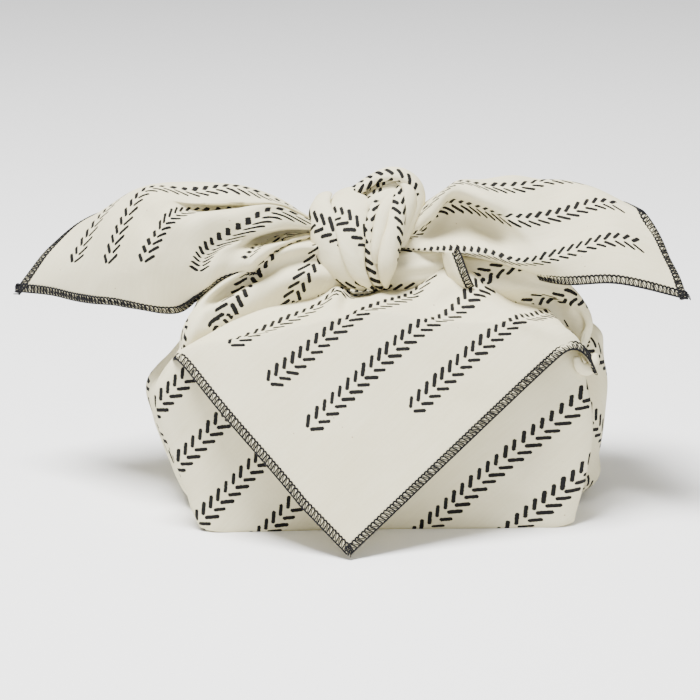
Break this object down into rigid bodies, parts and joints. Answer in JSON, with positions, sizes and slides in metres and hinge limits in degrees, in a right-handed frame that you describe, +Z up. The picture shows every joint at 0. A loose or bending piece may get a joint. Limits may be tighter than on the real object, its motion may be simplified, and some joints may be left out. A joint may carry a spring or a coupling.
{
  "type": "furoshiki wrap",
  "caption": "Square cotton cloth folded round a box-shaped load and tied on top in a square knot, with spread tie ends and a pointed flap down the front.",
  "frame": {"origin": "centre of the flat base of the wrapped bundle, where it rests", "axes": "+X to the viewer's right along the spread tie ends, +Y away from the pointed front flap, +Z up"},
  "size_m": [0.3039, 0.1626, 0.1526],
  "materials": {
    "printed_cotton": "matt unbleached plain-weave cotton with rows of printed black chevron dashes"
  },
  "bodies": {
    "root": {"furoshiki_cloth": "printed_cotton"}
  },
  "joints": []
}
